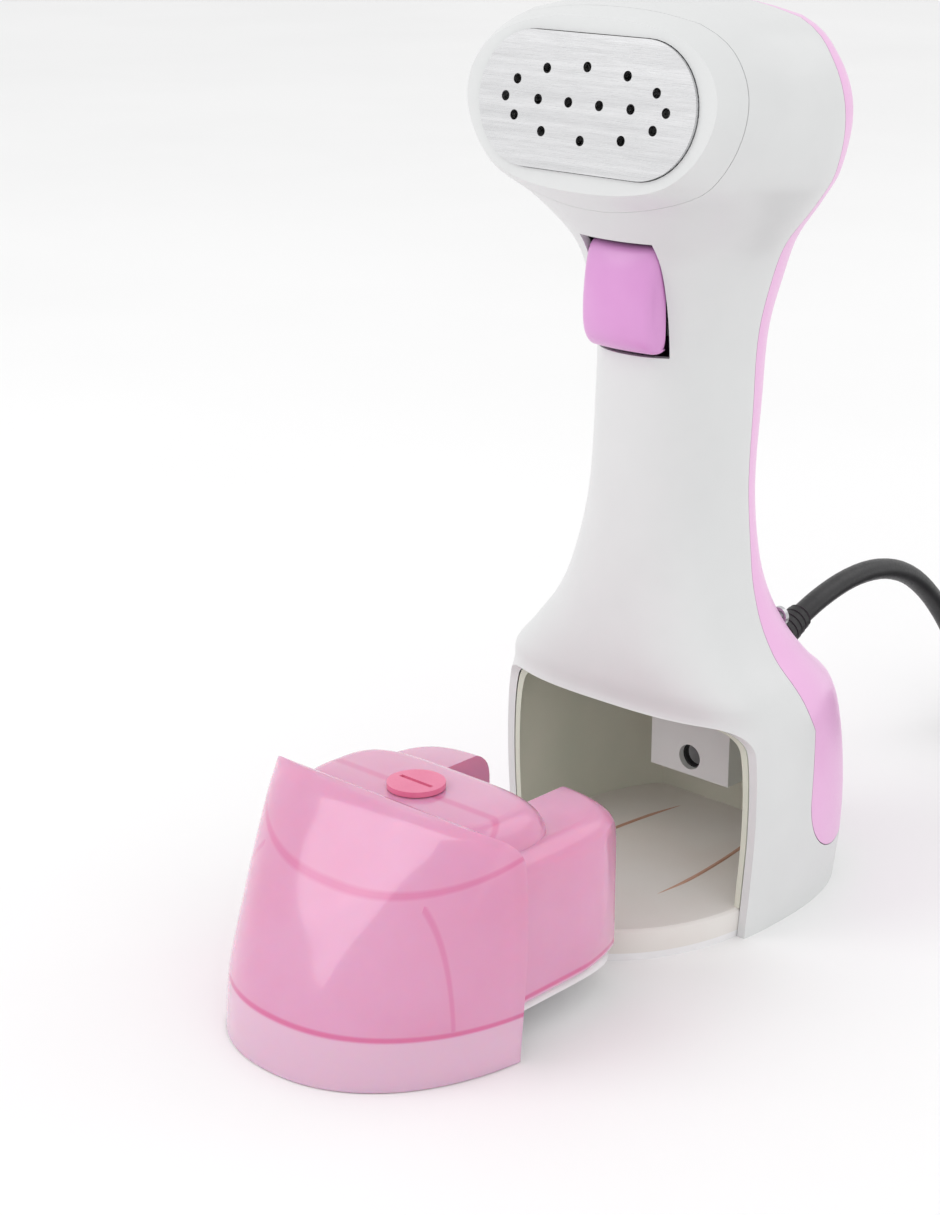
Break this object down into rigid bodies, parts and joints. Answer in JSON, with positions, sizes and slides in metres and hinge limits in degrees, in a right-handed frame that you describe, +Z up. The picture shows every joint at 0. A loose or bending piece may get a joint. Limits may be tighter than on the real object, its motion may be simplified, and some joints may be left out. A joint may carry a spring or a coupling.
{
  "type": "garment steamer",
  "caption": "Upright handheld garment steamer with a flared base, a slim trigger handle, a wide steam head and a pull-out translucent water tank.",
  "frame": {"origin": "on the underside of the base, below the middle of the handle", "axes": "+Z up along the handle, -Y towards the steam face and the tank mouth, +X to the right when looking along +Y"},
  "size_m": [0.1462, 0.3903, 0.2475],
  "materials": {
    "white_shell": "satin moulded",
    "orchid_cover": "satin moulded",
    "ivory_liner": "matt moulded",
    "white_under": "satin moulded",
    "steel": "zinc plated",
    "dark_rubber": "matt",
    "clear_hose": "milky silicone",
    "pink_tank": "clear tinted gloss",
    "rose_plug": "satin",
    "orchid_trigger": "satin moulded",
    "black_plastic": "fine grain",
    "pump_body": "moulded",
    "grey_frame": "moulded",
    "white_bezel": "satin moulded",
    "plate_metal": "fine brushed",
    "red_silicone": "matt",
    "cast_alloy": "as cast",
    "element_steel": "heat tinted",
    "thermostat_metal": "stamped",
    "fuse_sleeve": "woven glass sleeve",
    "terminal_plastic": "moulded",
    "wire_sheath": "satin",
    "black_rubber": "satin",
    "tie_plastic": "satin",
    "brass_pins": "plated"
  },
  "bodies": {
    "housing": {"front_housing": "white_shell", "rear_cover": "orchid_cover", "bay_liner": "ivory_liner", "floor_tray": "white_shell", "base_cover": "white_under", "base_screws": "steel", "cover_screws": "steel", "intake_block": "white_shell", "intake_seal": "dark_rubber", "intake_tube": "clear_hose", "trigger_pin": "steel", "trigger_spring": "steel", "micro_switch": "black_plastic", "pump": "pump_body", "inner_frame": "grey_frame", "outlet_tube": "clear_hose", "head_bezel": "white_bezel", "steam_plate": "plate_metal", "head_gasket": "red_silicone", "heater_block": "cast_alloy", "heating_element": "element_steel", "thermostat": "thermostat_metal", "thermal_fuse": "fuse_sleeve", "terminal_block": "terminal_plastic", "wiring": "wire_sheath", "strain_relief": "black_rubber", "cord_clamp": "grey_frame", "cord": "black_rubber", "cord_coil": "black_rubber", "coil_tie": "tie_plastic", "cord_tail": "black_rubber", "plug_body": "black_plastic", "plug_pins": "brass_pins"},
    "trigger": {"trigger": "orchid_trigger"},
    "tank": {"tank_shell": "pink_tank", "tank_base": "white_under", "tank_nozzle": "white_under", "nozzle_ring": "dark_rubber", "valve_spring": "steel"},
    "valve": {"valve_stem": "steel"},
    "filler": {"filler_plug": "rose_plug", "plug_seal": "dark_rubber"}
  },
  "joints": [
    {"name": "tank_slide", "type": "slide", "parent": "housing", "child": "tank", "axis": [0, 1, 0], "range_m": [0, 0.091]},
    {"name": "trigger_hinge", "type": "hinge", "parent": "housing", "child": "trigger", "pos_m": [0, -0.0135, 0.1825], "axis": [1, 0, 0], "range_deg": [0, 5.5], "stiffness_Nm_per_rad": 0.6, "springref_deg": -5.73},
    {"name": "valve_push", "type": "slide", "parent": "tank", "child": "valve", "axis": [0, -1, 0], "range_m": [0, 0.0018], "stiffness_N_per_m": 300, "springref_m": -0.001},
    {"name": "filler_lift", "type": "slide", "parent": "tank", "child": "filler", "axis": [0, 0, 1], "range_m": [0, 0.012]}
  ]
}
